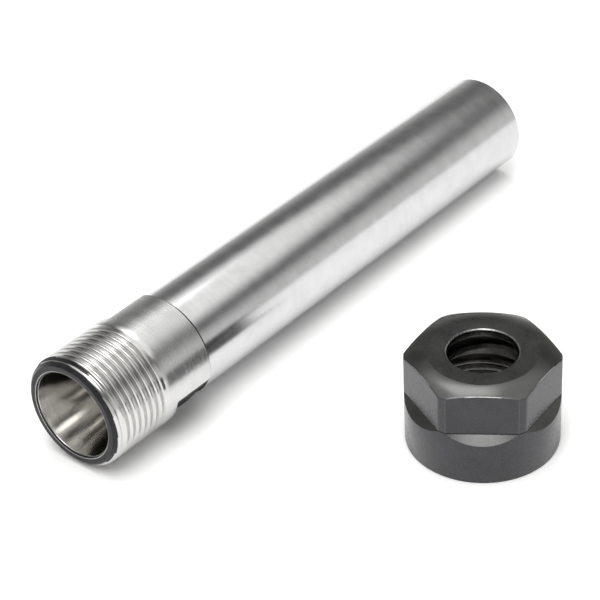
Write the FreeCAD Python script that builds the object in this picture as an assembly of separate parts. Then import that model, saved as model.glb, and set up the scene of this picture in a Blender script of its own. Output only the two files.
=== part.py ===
import FreeCAD, Part
import math
import os

# Straight-shank ER16 collet chuck: a turned and ground chuck body lying on a surface,
# with its hexagon clamping nut taken off and standing on its skirt beside it.
# Units are millimetres. +X runs along the body from its mouth to its rear end, +Z is up,
# and the origin is at the middle of the footprint of both pieces, on the surface.

Vector = FreeCAD.Vector

# ---- chuck body, as stations along its axis from the front face ----
overall_length = 125.0
head_length = 25.0              # front face to the shoulder where the shank starts
shank_radius = 10.0
head_radius = 11.0              # plain collar behind the thread
thread_crest_radius = 10.93     # M22 x 1.5, just under its nominal 11
thread_length = 13.5            # front face to the end of the thread
front_face_radius = 9.9         # outer edge of the flat ring round the mouth
front_chamfer_length = 0.7
shoulder_rounding = 0.5
rear_chamfer = 0.5

# Taper socket for an ER16 collet, and the bore behind it
taper_mouth_radius = 8.0
taper_half_angle = 8.0          # degrees
mouth_chamfer = 0.85
bore_radius = 5.25
bore_chamfer = 0.5

# Two opposed wrench flats milled into the collar, up to the shoulder
wrench_across_flats = 19.5
wrench_flat_start = 16.0        # station of their front end
wrench_flat_turn = 38.2         # degrees about the axis, from +Y towards +Z

# Grinding relief between the shoulder and the shank, as deep as the wrench flats
relief_width = 0.6

# ---- clamping nut, as heights above the surface that its skirt stands on ----
nut_height = 18.6
nut_radius = 14.0
nut_across_flats = 25.0
hexagon_foot_height = 9.8       # lower end of the six flats
ledge_angle = 45.0              # degrees, slope of the run-out below each flat
crown_radius = 10.7             # outer edge of the flat face round the nose hole
crown_slope = 25.0              # degrees, cone from that face down to the corners
skirt_chamfer = 0.3

# Nose hole and the inside of the nut, from the top down
nose_radius = 6.4
nose_chamfer = 0.35
nose_lip_depth = 1.6
collar_radius = 8.9             # room round the head of the collet
extractor_top = 14.85
extractor_thickness = 1.0
extractor_radius = 8.2          # bored off centre, so that its lip is a crescent
extractor_offset = 1.5
extractor_turn = -134.7         # degrees from the flat facing +X, side where the lip runs out
collar_foot_height = 11.4
runout_radius = 11.2
thread_top_height = 9.4
thread_minor_radius = 10.19     # M22 x 1.5 internal
entry_chamfer = 1.0

# ---- where the pieces lie ----
nut_along = 49.6                # centre of the nut behind the front face of the body
nut_beside = 53.5               # centre of the nut from the axis of the body, towards -Y
nut_turn = 34.7                 # degrees, direction that one flat faces

cutter_margin = 1.0             # how far cutting solids run past what they cut
wrench_flat_distance = wrench_across_flats / 2
nut_flat_distance = nut_across_flats / 2


def turned(points, axis):
    """Solid of revolution from a half section whose points are 3-D vectors."""
    outline = Part.makePolygon(points + [points[0]])
    return Part.Face(outline).revolve(Vector(0, 0, 0), axis, 360)


def turned_along_x(stations):
    return turned([Vector(x, 0, radius) for x, radius in stations], Vector(1, 0, 0))


def turned_along_z(stations):
    return turned([Vector(radius, 0, z) for z, radius in stations], Vector(0, 0, 1))


def make_chuck_body():
    """The body in its own frame: axis on X, front face at X = 0."""
    taper_length = (taper_mouth_radius - bore_radius) / math.tan(math.radians(taper_half_angle))
    body = turned_along_x([
        (0, taper_mouth_radius + mouth_chamfer),
        (0, front_face_radius),
        (front_chamfer_length, thread_crest_radius),
        (thread_length, thread_crest_radius),
        (thread_length, head_radius),
        (head_length, head_radius),
        (head_length, wrench_flat_distance),
        (head_length + relief_width, wrench_flat_distance),
        (head_length + relief_width + shank_radius - wrench_flat_distance, shank_radius),
        (overall_length - rear_chamfer, shank_radius),
        (overall_length, shank_radius - rear_chamfer),
        (overall_length, bore_radius + bore_chamfer),
        (overall_length - bore_chamfer, bore_radius),
        (mouth_chamfer + taper_length, bore_radius),
        (mouth_chamfer, taper_mouth_radius),
    ])
    shoulder_edges = [
        edge for edge in body.Edges
        if abs(edge.CenterOfMass.x - head_length) < 1e-6
        and abs(edge.BoundBox.ZMax - head_radius) < 1e-6
    ]
    body = body.makeFillet(shoulder_rounding, shoulder_edges)
    return body.cut(make_wrench_flat_cutter(0)).cut(make_wrench_flat_cutter(180))


def make_wrench_flat_cutter(turn):
    """A block that mills one wrench flat, turned about the body's axis."""
    width = 2 * (head_radius + cutter_margin)
    block = Part.makeBox(head_length - wrench_flat_start, width, width)
    block.translate(Vector(wrench_flat_start, wrench_flat_distance, -width / 2))
    block.rotate(Vector(0, 0, 0), Vector(1, 0, 0), wrench_flat_turn + turn)
    return block


def make_clamping_nut():
    """The nut in its own frame: axis on Z, foot of the skirt at Z = 0, one flat facing +X."""
    crown_drop = (nut_radius - crown_radius) * math.tan(math.radians(crown_slope))
    blank = turned_along_z([
        (0, 0),
        (0, nut_radius - skirt_chamfer),
        (skirt_chamfer, nut_radius),
        (nut_height - crown_drop, nut_radius),
        (nut_height, crown_radius),
        (nut_height, 0),
    ])
    for side in range(6):
        blank = blank.cut(make_nut_flat_cutter(60 * side))
    return blank.cut(make_nut_inside()).cut(make_extractor_bore())


def make_nut_flat_cutter(turn):
    """Mills one flat of the hexagon, with the sloping run-out below it."""
    reach = nut_radius + cutter_margin
    top = nut_height + cutter_margin
    foot_drop = (reach - nut_flat_distance) * math.tan(math.radians(ledge_angle))
    section = Part.makePolygon([
        Vector(nut_flat_distance, -reach, top),
        Vector(nut_flat_distance, -reach, hexagon_foot_height),
        Vector(reach, -reach, hexagon_foot_height - foot_drop),
        Vector(reach, -reach, top),
        Vector(nut_flat_distance, -reach, top),
    ])
    cutter = Part.Face(section).extrude(Vector(0, 2 * reach, 0))
    cutter.rotate(Vector(0, 0, 0), Vector(0, 0, 1), turn)
    return cutter


def make_nut_inside():
    """What the lathe takes out of the nut, from the skirt up to the nose hole."""
    lip_foot = nut_height - nose_lip_depth
    extractor_foot = extractor_top - extractor_thickness
    extractor_tip_radius = extractor_radius - extractor_offset
    return turned_along_z([
        (-cutter_margin, 0),
        (-cutter_margin, thread_minor_radius + entry_chamfer),
        (0, thread_minor_radius + entry_chamfer),
        (entry_chamfer, thread_minor_radius),
        (thread_top_height, thread_minor_radius),
        (thread_top_height, runout_radius),
        (collar_foot_height, runout_radius),
        (collar_foot_height, collar_radius),
        (extractor_foot, collar_radius),
        (extractor_foot, extractor_tip_radius),
        (extractor_top, extractor_tip_radius),
        (extractor_top, collar_radius),
        (lip_foot, collar_radius),
        (lip_foot, nose_radius),
        (nut_height - nose_chamfer, nose_radius),
        (nut_height, nose_radius + nose_chamfer),
        (nut_height + cutter_margin, nose_radius + nose_chamfer),
        (nut_height + cutter_margin, 0),
    ])


def make_extractor_bore():
    """The off-centre bore through the extracting lip."""
    turn = math.radians(extractor_turn)
    centre = Vector(
        extractor_offset * math.cos(turn),
        extractor_offset * math.sin(turn),
        extractor_top - extractor_thickness,
    )
    return Part.makeCylinder(extractor_radius, extractor_thickness, centre)


def lay_body_down(body):
    """Rests the body on the collar's rear edge and on the shank's rear edge."""
    collar_contact = head_length - shoulder_rounding
    shank_contact = overall_length - rear_chamfer
    tilt = math.atan((head_radius - shank_radius) / (shank_contact - collar_contact))
    body.rotate(Vector(0, 0, 0), Vector(0, 1, 0), math.degrees(tilt))
    lift = head_radius * math.cos(tilt) + collar_contact * math.sin(tilt)
    body.translate(Vector(0, 0, lift))


def stand_nut_beside(nut):
    nut.rotate(Vector(0, 0, 0), Vector(0, 0, 1), nut_turn)
    nut.translate(Vector(nut_along, -nut_beside, 0))


chuck_body = make_chuck_body()
lay_body_down(chuck_body)
clamping_nut = make_clamping_nut()
stand_nut_beside(clamping_nut)

footprint = Part.makeCompound([chuck_body, clamping_nut]).optimalBoundingBox(False)
to_origin = Vector(-footprint.Center.x, -footprint.Center.y, 0)

os.makedirs("parts", exist_ok=True)
for name, shape in (("chuck_body", chuck_body), ("clamping_nut", clamping_nut)):
    shape.translate(to_origin)
    shape.exportStep(os.path.join("parts", name + ".step"))
    print(name, "valid", shape.isValid(), "solids", len(shape.Solids), "volume", round(shape.Volume, 1))
print("moved by", to_origin)
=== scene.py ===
import math

import bpy
import numpy as np
from mathutils import Matrix, Vector


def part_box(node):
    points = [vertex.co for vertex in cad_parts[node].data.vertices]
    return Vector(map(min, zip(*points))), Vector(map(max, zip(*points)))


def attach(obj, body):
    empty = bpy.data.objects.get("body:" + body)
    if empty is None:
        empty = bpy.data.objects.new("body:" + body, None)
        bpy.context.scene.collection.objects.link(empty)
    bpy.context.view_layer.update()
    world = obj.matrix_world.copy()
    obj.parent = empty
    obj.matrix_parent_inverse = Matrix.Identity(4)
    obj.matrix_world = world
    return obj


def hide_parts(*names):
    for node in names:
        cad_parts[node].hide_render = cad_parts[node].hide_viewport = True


# A straight-shank collet chuck body lying on a pale floor, with its clamping nut beside it.
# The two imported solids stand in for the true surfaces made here, which add the threads,
# the small edge roundings and the finish. Lengths are in millimetres until they reach a mesh.

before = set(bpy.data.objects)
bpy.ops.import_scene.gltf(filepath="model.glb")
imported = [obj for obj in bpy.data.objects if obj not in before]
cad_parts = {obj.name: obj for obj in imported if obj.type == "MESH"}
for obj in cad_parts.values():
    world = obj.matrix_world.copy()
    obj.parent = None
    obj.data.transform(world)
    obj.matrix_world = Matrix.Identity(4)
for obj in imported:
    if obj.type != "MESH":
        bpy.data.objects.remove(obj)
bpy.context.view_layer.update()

MM = 0.001
TURN = 2 * math.pi

# ---- chuck body, stations from the front face ----
OVERALL_LENGTH = 125.0
HEAD_LENGTH = 25.0
SHANK_RADIUS = 10.0
HEAD_RADIUS = 11.0
THREAD_LENGTH = 13.5
FRONT_FACE_RADIUS = 9.9
FRONT_CHAMFER = 0.6             # 45 degrees, before it bends over into the crest
EDGE_CHAMFER = 0.5
SHOULDER_ROUNDING = 0.5         # of the solid, which sets how high the body lies
SHOULDER_EDGE = 0.1             # rounding that is drawn here, sharper than the solid's
SHOULDER_SHADE_LINE = 0.08            # painted shade: a dark line before it, widest on the upper near side
SHOULDER_SHADE_MIDDLE = math.radians(60)
TAPER_MOUTH_RADIUS = 8.5
TAPER_HALF_ANGLE = math.radians(8.0)
MOUTH_CHAMFER = 0.35
BORE_RADIUS = 5.25
FLAT_DISTANCE = 9.75
FLAT_START = 16.0
FLAT_TURN = math.radians(38.2)
RELIEF_WIDTH = 0.6

# ---- M22 x 1.5 thread ----
PITCH = 1.5
CREST_RADIUS = 10.93
ROOT_RADIUS = 10.15
CREST_SHARE = 0.18              # of the pitch, flat top
ROOT_SHARE = 0.10
GROOVE_START = 1.73             # station of the first groove's middle on the near side
THREAD_ROUNDING = 1.0           # how far the flanks bend into the crest and the root
RUN_OUT = 0.8                   # length over which the last groove fades
FIRST_TURN_DEPTH = 0.45         # of the full depth, where the first groove starts
DARK_CHAMFER_END = 0.62         # the oxide of the front face ends on the chamfer
DARK_GROOVE = (0.95, 1.85)      # stations between which it stays in the first groove
DARK_SECTOR = (math.radians(58), math.radians(150))     # on the upper side only
DARK_FADE = math.radians(30)    # over which it narrows to nothing

# ---- clamping nut, heights above the floor ----
NUT_HEIGHT = 18.6
NUT_RADIUS = 14.0
NUT_FLAT_DISTANCE = 12.5
FLAT_FOOT = 9.8
LEDGE_SLOPE = 1.0
CROWN_RADIUS = 9.9
CROWN_SLOPE = 0.12              # where the crown starts, and how it steepens outwards
CROWN_BEND = 0.045
NOSE_RADIUS = 6.4
NOSE_CHAMFER = 0.2
NOSE_LIP = 1.6
COLLAR_RADIUS = 8.9
EXTRACTOR_TOP = 14.85
EXTRACTOR_FOOT = 13.85
EXTRACTOR_RADIUS = 8.2
EXTRACTOR_OFFSET = 1.5
EXTRACTOR_TURN = math.radians(-100.0)
COLLAR_FOOT = 11.4
RUNOUT_RADIUS = 11.2
NUT_THREAD_TOP = 9.4
MINOR_RADIUS = 10.19
MAJOR_RADIUS = 11.0
ENTRY_CHAMFER = 1.0
NUT_TURN = math.radians(34.7)
RUBBED_WALL = 12.9              # the crown's lower edge is rubbed bright inside this radius
STRIP = math.radians(0.5)       # width of the rubbed edge beside each flat

# ---- places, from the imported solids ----
body_low, body_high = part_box("chuck_body")
nut_low, nut_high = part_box("clamping_nut")
tilt = math.atan((HEAD_RADIUS - SHANK_RADIUS) / (OVERALL_LENGTH - HEAD_LENGTH))
front_x = body_low[0] / MM + FRONT_FACE_RADIUS * math.sin(tilt)
axis_y = (body_low[1] + body_high[1]) / 2 / MM
front_z = HEAD_RADIUS * math.cos(tilt) + (HEAD_LENGTH - SHOULDER_ROUNDING) * math.sin(tilt)
nut_x = (nut_low[0] + nut_high[0]) / 2 / MM
nut_y = (nut_low[1] + nut_high[1]) / 2 / MM

SEGMENTS = 288                  # columns round the body
FLAT_COLUMNS = 40               # steps across each flat of the nut
MERGE_DISTANCE = 2e-7           # metres, points closer than this become one
SHARP_ANGLE = math.radians(28)
THREAD_SAMPLES = 16             # points in one pitch of a thread


# ---------------------------------------------------------------- mesh helpers

def arc_corner(before, corner, after, radius, steps=3):
    """Points of a small rounding that replaces a corner of a section line."""
    corner = np.array(corner, float)
    to_before = np.array(before, float) - corner
    to_after = np.array(after, float) - corner
    to_before /= np.linalg.norm(to_before)
    to_after /= np.linalg.norm(to_after)
    half = math.acos(max(-1.0, min(1.0, float(to_before @ to_after)))) / 2
    reach = radius / math.tan(half)
    start = corner + to_before * reach
    end = corner + to_after * reach
    centre = corner + (to_before + to_after) / np.linalg.norm(to_before + to_after) * radius / math.sin(half)
    points = []
    for step in range(steps + 1):
        mix = start + (end - start) * step / steps
        spoke = mix - centre
        points.append(tuple(centre + spoke / np.linalg.norm(spoke) * radius))
    return points


def rounded(section, steps=3):
    """Section points (along, radius, rounding) with each corner rounded by its own radius."""
    line = []
    for i, (along, radius, rounding) in enumerate(section):
        if rounding and 0 < i < len(section) - 1:
            line += arc_corner(section[i - 1][:2], (along, radius), section[i + 1][:2], rounding, steps)
        else:
            line.append((along, radius))
    return line


def spread(start, end, steps):
    """Even steps from start to end, both included."""
    return [start + (end - start) * i / steps for i in range(steps + 1)]


def lathe_mesh(name, columns, place, zones):
    """A closed surface from columns of (along, radius, angle) points, one column per angle.

    The last column repeats the first one, and doubled points are merged, so a helical
    column may close one pitch further on. place turns a point into metres.
    """
    grid = np.array(columns)
    count, rows = grid.shape[:2]
    points = place(grid.reshape(-1, 3))
    index = np.arange(count * rows).reshape(count, rows)
    a = index[:-1, :-1].ravel()
    b = index[1:, :-1].ravel()
    c = index[1:, 1:].ravel()
    d = index[:-1, 1:].ravel()
    faces = np.stack([a, b, c, d], 1)
    face_zone = np.array(zones)[:-1, :-1].ravel()
    cells = np.round(points / MERGE_DISTANCE).astype(np.int64)
    _, first, inverse = np.unique(cells, axis=0, return_index=True, return_inverse=True)
    inverse = inverse.ravel()
    faces = inverse[faces]
    points = points[first]
    clean = []
    clean_zone = []
    for corners, zone in zip(faces.tolist(), face_zone.tolist()):
        ring = [v for i, v in enumerate(corners) if v != corners[i - 1]]
        if len(set(ring)) >= 3 and len(ring) == len(set(ring)):
            clean.append(ring)
            clean_zone.append(zone)
    mesh = bpy.data.meshes.new(name)
    mesh.from_pydata(points.tolist(), [], clean)
    mesh.validate()
    mesh.polygons.foreach_set("material_index", clean_zone)
    mesh.polygons.foreach_set("use_smooth", [True] * len(mesh.polygons))
    mesh.update()
    mesh.set_sharp_from_angle(angle=SHARP_ANGLE)
    piece = bpy.data.objects.new(name, mesh)
    bpy.context.scene.collection.objects.link(piece)
    return piece


# ---------------------------------------------------------------- chuck body

def place_on_body(points):
    """(station, radius, angle from the near side upwards) to metres in the frame."""
    station = points[:, 0]
    across = -points[:, 1] * np.cos(points[:, 2])
    up = points[:, 1] * np.sin(points[:, 2])
    x = front_x + station * math.cos(tilt) + up * math.sin(tilt)
    y = axis_y + across
    z = front_z - station * math.sin(tilt) + up * math.cos(tilt)
    return np.stack([x, y, z], 1) * MM


def groove_points():
    """One pitch of the thread as (share of the pitch from the groove's middle, depth share)."""
    half_root = ROOT_SHARE / 2
    half_open = (1 - CREST_SHARE) / 2
    points = []
    for share in np.linspace(-0.5, 0.5, THREAD_SAMPLES + 1)[:-1]:
        away = abs(share)
        if away <= half_root:
            depth = 1.0
        elif away >= half_open:
            depth = 0.0
        else:
            slope = (half_open - away) / (half_open - half_root)
            depth = slope + THREAD_ROUNDING * (slope * slope * (3 - 2 * slope) - slope)
        points.append((float(share), depth))
    return points


def lead_in(middle):
    """Share of the full depth at a groove's station: the first turn is cut shallow."""
    past_start = abs(middle - GROOVE_START + 0.02) / (PITCH * 0.3)
    return FIRST_TURN_DEPTH + (1 - FIRST_TURN_DEPTH) * min(1.0, past_start ** 3)


def front_edge_radius(station):
    """The front chamfer, which bends over smoothly into the crest of the thread."""
    past = station - FRONT_CHAMFER
    rise = CREST_RADIUS - FRONT_FACE_RADIUS - FRONT_CHAMFER
    if past <= 0:
        return FRONT_FACE_RADIUS + station
    if past >= 2 * rise:
        return CREST_RADIUS
    return FRONT_FACE_RADIUS + FRONT_CHAMFER + past - past * past / (4 * rise)


def thread_column(angle):
    """Outer surface of the threaded nose at one angle, from the front face backwards."""
    pitches = int(THREAD_LENGTH / PITCH) + 2
    column = []
    for turn in range(-1, pitches):
        middle = GROOVE_START + (turn - angle / TURN) * PITCH
        for share, depth in groove_points():
            station = middle + share * PITCH
            left = THREAD_LENGTH - middle - PITCH / 3
            fade = min(1.0, max(0.0, left / RUN_OUT)) * lead_in(middle)
            radius = CREST_RADIUS - (CREST_RADIUS - ROOT_RADIUS) * depth * fade
            station = min(max(station, 0.02), THREAD_LENGTH - 0.02)
            if station in (0.02, THREAD_LENGTH - 0.02):
                radius = CREST_RADIUS
            column.append((station, min(radius, front_edge_radius(station)), angle))
    return column


def collar_radius_at(angle):
    """Radius of the collar at one angle, where the two wrench flats cut it."""
    # the flats face FLAT_TURN above +Y and its opposite, and angles here start at -Y
    away = math.cos(angle - (math.pi - FLAT_TURN))
    return min(HEAD_RADIUS, FLAT_DISTANCE / max(abs(away), 1e-6))


def body_angles():
    """Even steps round the body, with the edges of the wrench flats among them."""
    angles = set(np.linspace(0, TURN, SEGMENTS + 1).round(9))
    half = math.acos(FLAT_DISTANCE / HEAD_RADIUS)
    for facing in (math.pi - FLAT_TURN, TURN - FLAT_TURN):
        angles.add(round(facing - half, 9))
        angles.add(round(facing + half, 9))
    return sorted(angles)


BODY_ZONES = {"ground": 0, "dark": 1, "taper": 2, "flat": 3, "thread": 4, "collar": 5}


def make_chuck_body():
    taper_length = (TAPER_MOUTH_RADIUS - BORE_RADIUS) / math.tan(TAPER_HALF_ANGLE)
    lip = MOUTH_CHAMFER
    inner_front = rounded([
        (OVERALL_LENGTH - EDGE_CHAMFER, BORE_RADIUS, 0),
        (lip + taper_length, BORE_RADIUS, 0.3),
        (lip, TAPER_MOUTH_RADIUS, 0.15),
        (0, TAPER_MOUTH_RADIUS + lip, 0.1),
        (0, FRONT_FACE_RADIUS, 0),
    ])
    shank_start = HEAD_LENGTH + RELIEF_WIDTH + SHANK_RADIUS - FLAT_DISTANCE
    shank = rounded([
        (HEAD_LENGTH + RELIEF_WIDTH, FLAT_DISTANCE, 0),
        (shank_start, SHANK_RADIUS, 0.1),
        (OVERALL_LENGTH - EDGE_CHAMFER, SHANK_RADIUS, 0.12),
        (OVERALL_LENGTH, SHANK_RADIUS - EDGE_CHAMFER, 0.1),
        (OVERALL_LENGTH, BORE_RADIUS + EDGE_CHAMFER, 0.1),
        (OVERALL_LENGTH - EDGE_CHAMFER, BORE_RADIUS, 0),
    ])
    columns = []
    zones = []
    for angle in body_angles():
        column = []
        zone = []

        def add(points, zone_name):
            for point in points:
                column.append(point)
                zone.append(BODY_ZONES[zone_name])

        add([(s, r, angle) for s, r in inner_front[:5]], "taper")
        add([(s, r, angle) for s, r in inner_front[5:8]], "thread")
        add([(s, r, angle) for s, r in inner_front[8:9]], "dark")
        add([(s, r, angle) for s, r in inner_front[9:12]], "thread")
        add([(s, r, angle) for s, r in inner_front[12:]], "dark")
        for point in thread_column(angle):
            in_groove = DARK_GROOVE[0] < point[0] < DARK_GROOVE[1]
            fading = max(0.0, 1 - (angle - DARK_SECTOR[0]) / DARK_FADE)
            deep = point[1] < CREST_RADIUS - 0.14 - 0.4 * fading
            stained = in_groove and deep and DARK_SECTOR[0] < angle < DARK_SECTOR[1]
            add([point], "dark" if point[0] < DARK_CHAMFER_END or stained else "thread")
        add([(s, HEAD_RADIUS, angle) for s in spread(THREAD_LENGTH + 0.2, FLAT_START - 0.12, 2)], "collar")
        cut = collar_radius_at(angle)
        edge = min(0.1, (HEAD_RADIUS - cut) / 2)
        wall = "flat" if collar_radius_at(angle + 1e-4) < HEAD_RADIUS else "collar"
        add([(FLAT_START - edge * 0.3, HEAD_RADIUS - edge * 0.3, angle)], "collar")
        add([(FLAT_START, HEAD_RADIUS - edge, angle), (FLAT_START, cut, angle)], wall)
        # painted shade: the collar's rounded rear edge, and a strip of the collar before it that is widest
        # on the upper near side, take the flat's dark finish to draw the line of shade at the shoulder
        line = SHOULDER_SHADE_LINE * max(0.0, math.cos(angle - SHOULDER_SHADE_MIDDLE)) ** 2
        edge_start = HEAD_LENGTH - SHOULDER_EDGE
        add([(s, cut, angle) for s in spread(FLAT_START + 1.0, edge_start - line, 4)], wall)
        add([(edge_start, cut, angle)], "flat" if line > 0 else wall)
        for step in range(1, 5):
            lean = step * TURN / 20
            station = HEAD_LENGTH - SHOULDER_EDGE * (1 - math.sin(lean))
            radius = HEAD_RADIUS - SHOULDER_EDGE * (1 - math.cos(lean))
            add([(station, min(cut, radius), angle)], "flat")
        add([(HEAD_LENGTH, min(cut, HEAD_RADIUS - SHOULDER_EDGE), angle)], "flat")
        add([(HEAD_LENGTH, FLAT_DISTANCE, angle)], "flat")
        add([(s, r, angle) for s, r in shank[:4]], "flat")
        add([(s, r, angle) for s, r in shank[4:]], "ground")
        columns.append(column)
        zones.append(zone)
    return lathe_mesh("chuck_body_surface", columns, place_on_body, zones)


# ---------------------------------------------------------------- clamping nut

def place_on_nut(points):
    x = nut_x + points[:, 1] * np.cos(points[:, 2])
    y = nut_y + points[:, 1] * np.sin(points[:, 2])
    return np.stack([x, y, points[:, 0]], 1) * MM


def nut_angles():
    """Even steps round the nut, with the edges of its six flats among them."""
    half = math.acos(NUT_FLAT_DISTANCE / NUT_RADIUS)
    angles = []
    for side in range(6):
        facing = NUT_TURN + side * TURN / 6
        for share in spread(-1, 1, FLAT_COLUMNS):
            angles.append(facing + share * half)
        for share in (0, 0.25, 0.5, 0.75, 1):
            angles.append(facing + half + STRIP + share * (TURN / 6 - 2 * half - 2 * STRIP))
    angles.append(angles[0] + TURN)
    return angles


def wall_radius_at(angle):
    """Radius of the nut at one angle: a flat of the hexagon, or the turned corner."""
    from_flat = (angle - NUT_TURN + TURN / 12) % (TURN / 6) - TURN / 12
    return min(NUT_RADIUS, NUT_FLAT_DISTANCE / math.cos(from_flat))


def crown_height_at(radius):
    """Height of the rounded crown, which falls away from the flat ring to the hexagon."""
    out = radius - CROWN_RADIUS
    return NUT_HEIGHT - out * (CROWN_SLOPE + out * CROWN_BEND)


def extractor_radius_at(angle):
    """Inner radius of the off-centre extracting lip, never more than the collar's."""
    away = angle - EXTRACTOR_TURN
    along = EXTRACTOR_OFFSET * math.cos(away)
    reach = along + math.sqrt(EXTRACTOR_RADIUS ** 2 - (EXTRACTOR_OFFSET * math.sin(away)) ** 2)
    return min(COLLAR_RADIUS, reach)


def inner_thread_column(angle):
    """Thread inside the nut at one angle, from its top down to the entry chamfer."""
    pitches = int(NUT_THREAD_TOP / PITCH) + 2
    column = []
    for turn in range(pitches, -2, -1):
        middle = (turn + angle / TURN) * PITCH - PITCH
        for share, depth in reversed(groove_points()):
            height = middle + share * PITCH
            height = min(max(height, 0.0), NUT_THREAD_TOP)
            radius = MINOR_RADIUS + (MAJOR_RADIUS - MINOR_RADIUS) * depth
            if height in (0.0, NUT_THREAD_TOP):
                radius = MINOR_RADIUS
            entry = MINOR_RADIUS + ENTRY_CHAMFER - height
            column.append((height, max(radius, entry), angle))
    return column


NUT_ZONES = {"side": 0, "cone": 1, "inside": 2, "edge": 3, "ring": 4, "corner": 5}


def make_clamping_nut():
    half = math.acos(NUT_FLAT_DISTANCE / NUT_RADIUS)
    ends = (half, TURN / 6 - half - STRIP)
    strip_edges = [NUT_TURN + side * TURN / 6 + end for side in range(6) for end in ends]
    strip_edges = [min(nut_angles(), key=lambda angle: abs(angle - edge)) for edge in strip_edges]
    columns = []
    zones = []
    for angle in nut_angles():
        wall = wall_radius_at(angle)
        cut = NUT_RADIUS - wall
        crown_edge = crown_height_at(wall)
        column = []
        zone = []

        def add(points, zone_name):
            for height, radius in points:
                column.append((height, radius, angle))
                zone.append(NUT_ZONES[zone_name])

        add([(0, MINOR_RADIUS + ENTRY_CHAMFER), (0, NUT_RADIUS - 0.3)], "side")
        add([(0.05, NUT_RADIUS - 0.12), (0.3, NUT_RADIUS)], "side")
        add([(FLAT_FOOT - cut * LEDGE_SLOPE, NUT_RADIUS)], "cone" if cut > 0.001 else "side")
        # painted shade: a near-black band along the foot of each flat, where it meets the ledge
        add([(FLAT_FOOT, wall)], "corner")
        strip = "cone" if angle in strip_edges else "side"
        add([(FLAT_FOOT + 0.18, wall), (crown_edge - 0.6, wall)], strip)
        bevel = 0.09
        rim = "edge" if wall < RUBBED_WALL else "side"
        add([(crown_edge - bevel, wall)], rim)
        add([(crown_edge - bevel * 0.2, wall - bevel * 0.2)], rim)
        add([(crown_height_at(r), r) for r in spread(wall - bevel, CROWN_RADIUS, 10)[:-1]], "cone")
        top = rounded([
            (crown_height_at(CROWN_RADIUS + 0.1), CROWN_RADIUS + 0.1, 0),
            (NUT_HEIGHT, CROWN_RADIUS, 0.1),
            (NUT_HEIGHT, NOSE_RADIUS + NOSE_CHAMFER, 0.06),
            (NUT_HEIGHT - NOSE_CHAMFER, NOSE_RADIUS, 0.06),
            (NUT_HEIGHT - NOSE_LIP, NOSE_RADIUS, 0.08),
            (NUT_HEIGHT - NOSE_LIP, COLLAR_RADIUS, 0),
        ])
        add(top[1:5], "ring")
        add(top[5:9], "edge")
        add(top[9:12], "cone")
        add(top[12:], "inside")
        lip = extractor_radius_at(angle)
        add([(EXTRACTOR_TOP + 0.05, COLLAR_RADIUS), (EXTRACTOR_TOP, lip)], "inside")
        add([(EXTRACTOR_FOOT, lip), (EXTRACTOR_FOOT - 0.05, COLLAR_RADIUS)], "inside")
        add([(COLLAR_FOOT, COLLAR_RADIUS), (COLLAR_FOOT, RUNOUT_RADIUS)], "inside")
        add([(NUT_THREAD_TOP, RUNOUT_RADIUS)], "inside")
        for point in inner_thread_column(angle):
            column.append(point)
            zone.append(NUT_ZONES["inside"])
        columns.append(column)
        zones.append(zone)
    return lathe_mesh("clamping_nut_surface", columns, place_on_nut, zones)


# ---------------------------------------------------------------- materials

def new_material(name):
    material = bpy.data.materials.new(name)
    material.use_nodes = True
    tree = material.node_tree
    shader = tree.nodes["Principled BSDF"]
    return material, tree, shader


def node(tree, kind, **settings):
    made = tree.nodes.new(kind)
    for key, value in settings.items():
        setattr(made, key, value)
    return made


def ramp(tree, source, stops):
    made = tree.nodes.new("ShaderNodeValToRGB")
    elements = made.color_ramp.elements
    while len(elements) < len(stops):
        elements.new(0.5)
    for element, (position, colour) in zip(elements, stops):
        element.position = position
        element.color = (*colour, 1) if len(colour) == 3 else colour
    tree.links.new(source, made.inputs["Fac"])
    return made


def body_coordinates(tree, stretch):
    """Object coordinates turned to the body's axis and stretched across it."""
    coordinates = tree.nodes.new("ShaderNodeTexCoord")
    mapping = tree.nodes.new("ShaderNodeMapping")
    mapping.inputs["Rotation"].default_value = (0, -tilt, 0)
    mapping.inputs["Scale"].default_value = stretch
    tree.links.new(coordinates.outputs["Object"], mapping.inputs["Vector"])
    return mapping.outputs["Vector"]


def steel(name, dark, light, rough_low, rough_high, line_scale, line_strength):
    """Machined steel: fine tool lines round the axis, mottled colour and roughness."""
    material, tree, shader = new_material(name)
    links = tree.links
    # lines round the axis change quickly along it and slowly across it
    lines = node(tree, "ShaderNodeTexNoise")
    lines.inputs["Scale"].default_value = 1.0
    lines.inputs["Detail"].default_value = 4
    links.new(body_coordinates(tree, (line_scale, line_scale / 60, line_scale / 60)), lines.inputs["Vector"])
    mottle = node(tree, "ShaderNodeTexNoise")
    mottle.inputs["Scale"].default_value = 1.0
    mottle.inputs["Detail"].default_value = 5
    links.new(body_coordinates(tree, (350, 350, 350)), mottle.inputs["Vector"])
    mixed = node(tree, "ShaderNodeMath", operation="ADD")
    links.new(lines.outputs["Fac"], mixed.inputs[0])
    links.new(mottle.outputs["Fac"], mixed.inputs[1])
    half = node(tree, "ShaderNodeMath", operation="MULTIPLY")
    half.inputs[1].default_value = 0.5
    links.new(mixed.outputs[0], half.inputs[0])
    colour = ramp(tree, half.outputs[0], [(0.32, dark), (0.62, light)])
    links.new(colour.outputs["Color"], shader.inputs["Base Color"])
    rough = node(tree, "ShaderNodeMapRange")
    rough.inputs["From Min"].default_value = 0.3
    rough.inputs["From Max"].default_value = 0.7
    rough.inputs["To Min"].default_value = rough_low
    rough.inputs["To Max"].default_value = rough_high
    links.new(half.outputs[0], rough.inputs["Value"])
    links.new(rough.outputs["Result"], shader.inputs["Roughness"])
    shader.inputs["Metallic"].default_value = 1.0
    bump = node(tree, "ShaderNodeBump")
    bump.inputs["Strength"].default_value = line_strength
    bump.inputs["Distance"].default_value = 0.00002
    links.new(lines.outputs["Fac"], bump.inputs["Height"])
    links.new(bump.outputs["Normal"], shader.inputs["Normal"])
    return material


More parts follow.
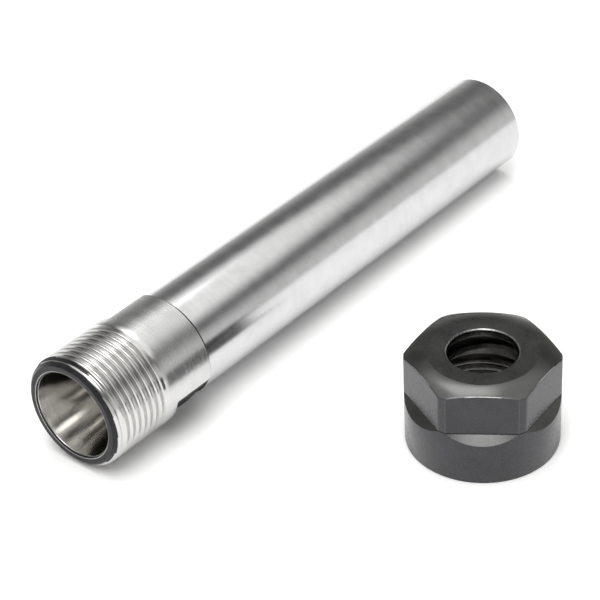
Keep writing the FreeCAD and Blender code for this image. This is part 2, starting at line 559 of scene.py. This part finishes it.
def black_oxide(name, dark, light, rough_low, rough_high, index, metallic=0.0):
    """Satin black oxide: a dark skin that mirrors weakly face on and more at a glance."""
    material, tree, shader = new_material(name)
    links = tree.links
    coordinates = node(tree, "ShaderNodeTexCoord")
    grain = node(tree, "ShaderNodeTexNoise")
    grain.inputs["Scale"].default_value = 3200
    grain.inputs["Detail"].default_value = 3
    links.new(coordinates.outputs["Object"], grain.inputs["Vector"])
    cloud = node(tree, "ShaderNodeTexNoise")
    cloud.inputs["Scale"].default_value = 260
    cloud.inputs["Detail"].default_value = 5
    links.new(coordinates.outputs["Object"], cloud.inputs["Vector"])
    mixed = node(tree, "ShaderNodeMath", operation="ADD")
    links.new(grain.outputs["Fac"], mixed.inputs[0])
    links.new(cloud.outputs["Fac"], mixed.inputs[1])
    half = node(tree, "ShaderNodeMath", operation="MULTIPLY")
    half.inputs[1].default_value = 0.5
    links.new(mixed.outputs[0], half.inputs[0])
    speck = tuple(max(part, 0.3) for part in light)
    colour = ramp(tree, half.outputs[0], [(0.38, dark), (0.64, light), (0.685, light), (0.72, speck)])
    links.new(colour.outputs["Color"], shader.inputs["Base Color"])
    rough = node(tree, "ShaderNodeMapRange")
    rough.inputs["From Min"].default_value = 0.35
    rough.inputs["From Max"].default_value = 0.65
    rough.inputs["To Min"].default_value = rough_low
    rough.inputs["To Max"].default_value = rough_high
    links.new(half.outputs[0], rough.inputs["Value"])
    links.new(rough.outputs["Result"], shader.inputs["Roughness"])
    shader.inputs["Metallic"].default_value = metallic
    shader.inputs["IOR"].default_value = index
    bump = node(tree, "ShaderNodeBump")
    bump.inputs["Strength"].default_value = 0.1
    bump.inputs["Distance"].default_value = 0.00001
    links.new(grain.outputs["Fac"], bump.inputs["Height"])
    links.new(bump.outputs["Normal"], shader.inputs["Normal"])
    return material


def dress_chuck_body(piece):
    for material in (
        steel("ground_steel", (0.555, 0.555, 0.56), (0.645, 0.645, 0.65), 0.16, 0.22, 9000, 0.2),
        black_oxide("front_oxide", (0.005, 0.005, 0.006), (0.024, 0.024, 0.027), 0.26, 0.38, 1.36),
        steel("taper_steel", (0.56, 0.55, 0.53), (0.70, 0.69, 0.67), 0.08, 0.14, 9000, 0.15),
        # this dark finish also draws the painted shade line at the collar's shoulder
        black_oxide("milled_flat_and_shade_line", (0.006, 0.006, 0.007), (0.025, 0.025, 0.025), 0.5, 0.7, 1.3),
        steel("thread_steel", (0.54, 0.535, 0.525), (0.67, 0.665, 0.655), 0.12, 0.2, 9000, 0.2),
        steel("collar_steel", (0.55, 0.548, 0.545), (0.65, 0.648, 0.64), 0.22, 0.30, 9000, 0.3),
    ):
        piece.data.materials.append(material)


def dress_clamping_nut(piece):
    for material in (
        black_oxide("nut_oxide", (0.004, 0.0035, 0.006), (0.018, 0.016, 0.025), 0.22, 0.32, 1.58),
        black_oxide("cone_oxide", (0.008, 0.008, 0.007), (0.026, 0.026, 0.023), 0.16, 0.25, 1.8),
        black_oxide("inside_oxide", (0.14, 0.138, 0.134), (0.34, 0.335, 0.325), 0.12, 0.22, 1.9, 1.0),
        black_oxide("rubbed_edge", (0.14, 0.14, 0.14), (0.42, 0.42, 0.42), 0.24, 0.36, 1.8, 0.9),
        black_oxide("ring_oxide", (0.008, 0.008, 0.008), (0.026, 0.026, 0.025), 0.26, 0.36, 1.5),
        # painted shade: near-black, for the inner corner at the foot of the flats
        black_oxide("painted_corner_shade", (0.002, 0.002, 0.002), (0.006, 0.006, 0.006), 0.4, 0.5, 1.15),
    ):
        piece.data.materials.append(material)


# ---------------------------------------------------------------- floor, lights, camera

def seen_directly_or_mirrored(tree):
    """1 for camera rays, mirror rays and rays through glass, otherwise 0."""
    paths = node(tree, "ShaderNodeLightPath")
    seen = paths.outputs["Is Camera Ray"]
    for output in ("Is Glossy Ray", "Is Transmission Ray"):
        either = node(tree, "ShaderNodeMath", operation="MAXIMUM")
        tree.links.new(seen, either.inputs[0])
        tree.links.new(paths.outputs[output], either.inputs[1])
        seen = either.outputs[0]
    return seen


def make_floor():
    """A pale floor that a ray sees as nearly white, with the shadow kept."""
    mesh = bpy.data.meshes.new("floor")
    half = 3.0
    corners = [(-half, -half, 0), (half, -half, 0), (half, half, 0), (-half, half, 0)]
    mesh.from_pydata(corners, [], [(0, 1, 2, 3)])
    floor = bpy.data.objects.new("floor", mesh)
    bpy.context.scene.collection.objects.link(floor)
    material, tree, shader = new_material("pale_floor")
    tree.nodes.remove(shader)
    plain = node(tree, "ShaderNodeBsdfDiffuse")
    plain.inputs["Color"].default_value = (FLOOR_GREY, FLOOR_GREY, FLOOR_GREY, 1)
    seen = node(tree, "ShaderNodeBsdfDiffuse")
    seen.inputs["Color"].default_value = (FLOOR_WHITE, FLOOR_WHITE, FLOOR_WHITE, 1)
    mix = node(tree, "ShaderNodeMixShader")
    tree.links.new(seen_directly_or_mirrored(tree), mix.inputs["Fac"])
    tree.links.new(plain.outputs[0], mix.inputs[1])
    tree.links.new(seen.outputs[0], mix.inputs[2])
    tree.links.new(mix.outputs[0], tree.nodes["Material Output"].inputs["Surface"])
    mesh.materials.append(material)


# brightness of the studio by the sine of the height above the horizon, on the far
# side of the object (+Y) and on the near side
FAR_WALL = [(0.00, 0.53), (0.15, 0.40), (0.30, 0.23), (0.46, 0.14), (0.64, 0.15), (0.71, 0.60), (0.78, 1.0)]
NEAR_WALL = [(0.00, 0.64), (0.20, 0.62), (0.36, 0.47), (0.50, 0.16), (0.62, 0.18), (0.71, 0.60), (0.78, 1.0)]
STUDIO_STRENGTH = 1.2
FLOOR_GREY = 0.80               # what the floor lends to the object's light
FLOOR_WHITE = 1.02              # how it shows itself


def wall_ramp(tree, height, levels):
    return ramp(tree, height, [(at, (level, level, level * 0.985)) for at, level in levels])


def make_world():
    """White to the camera; to the object, a bright ceiling above a darker band of wall."""
    world = bpy.data.worlds.new("studio")
    bpy.context.scene.world = world
    world.use_nodes = True
    tree = world.node_tree
    links = tree.links
    background = tree.nodes["Background"]
    background.inputs["Strength"].default_value = STUDIO_STRENGTH
    coordinates = node(tree, "ShaderNodeTexCoord")
    split = node(tree, "ShaderNodeSeparateXYZ")
    links.new(coordinates.outputs["Generated"], split.inputs["Vector"])
    side = node(tree, "ShaderNodeMapRange", interpolation_type="SMOOTHSTEP")
    side.inputs["From Min"].default_value = -0.4
    side.inputs["From Max"].default_value = 0.4
    links.new(split.outputs["Y"], side.inputs["Value"])
    walls = node(tree, "ShaderNodeMix", data_type="RGBA")
    links.new(side.outputs["Result"], walls.inputs["Factor"])
    links.new(wall_ramp(tree, split.outputs["Z"], NEAR_WALL).outputs["Color"], walls.inputs["A"])
    links.new(wall_ramp(tree, split.outputs["Z"], FAR_WALL).outputs["Color"], walls.inputs["B"])
    paths = node(tree, "ShaderNodeLightPath")
    mix = node(tree, "ShaderNodeMix", data_type="RGBA")
    links.new(paths.outputs["Is Camera Ray"], mix.inputs["Factor"])
    links.new(walls.outputs["Result"], mix.inputs["A"])
    mix.inputs["B"].default_value = (1, 1, 1, 1)
    links.new(mix.outputs["Result"], background.inputs["Color"])


def softbox(name, azimuth, elevation, distance, width, height, power, aim=(0, 0, 0.01)):
    """An area light at a bearing from the object, facing it."""
    light = bpy.data.lights.new(name, "AREA")
    light.shape = "RECTANGLE"
    light.size = width
    light.size_y = height
    light.energy = power
    lamp = bpy.data.objects.new(name, light)
    bearing = math.radians(azimuth)
    rise = math.radians(elevation)
    toward = Vector((math.cos(rise) * math.cos(bearing), math.cos(rise) * math.sin(bearing), math.sin(rise)))
    lamp.location = Vector(aim) + toward * distance
    lamp.rotation_euler = toward.to_track_quat("Z", "Y").to_euler()
    bpy.context.scene.collection.objects.link(lamp)


def make_lights():
    """Two softboxes overhead, for the crown of the nut and the thread's flanks."""
    softbox("key_box", -158, 70, 1.0, 0.56, 0.80, 5.6)
    softbox("top_box", 48, 68, 1.0, 0.36, 0.36, 1.3)


def make_camera():
    bearing = math.radians(40.81)
    dip = math.radians(35.296)
    roll = math.radians(-3.151)
    place = Vector((-270.73, -206.24, 253.54)) * MM
    forward = Vector((math.cos(dip) * math.cos(bearing), math.cos(dip) * math.sin(bearing), -math.sin(dip)))
    right = Vector((math.sin(bearing), -math.cos(bearing), 0))
    down = forward.cross(right)
    rolled_right = right * math.cos(roll) - down * math.sin(roll)
    rolled_down = right * math.sin(roll) + down * math.cos(roll)
    data = bpy.data.cameras.new("camera")
    data.lens = 133.9
    data.sensor_width = 36.0
    camera = bpy.data.objects.new("camera", data)
    turn = Matrix((rolled_right, -rolled_down, -forward)).transposed()
    camera.matrix_world = Matrix.Translation(place) @ turn.to_4x4()
    bpy.context.scene.collection.objects.link(camera)
    bpy.context.scene.camera = camera


body = make_chuck_body()
dress_chuck_body(body)
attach(body, "root")
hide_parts("chuck_body")

nut = make_clamping_nut()
dress_clamping_nut(nut)
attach(nut, "root")
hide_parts("clamping_nut")

make_floor()
make_world()
make_lights()
make_camera()
bpy.context.scene.view_settings.view_transform = "Standard"
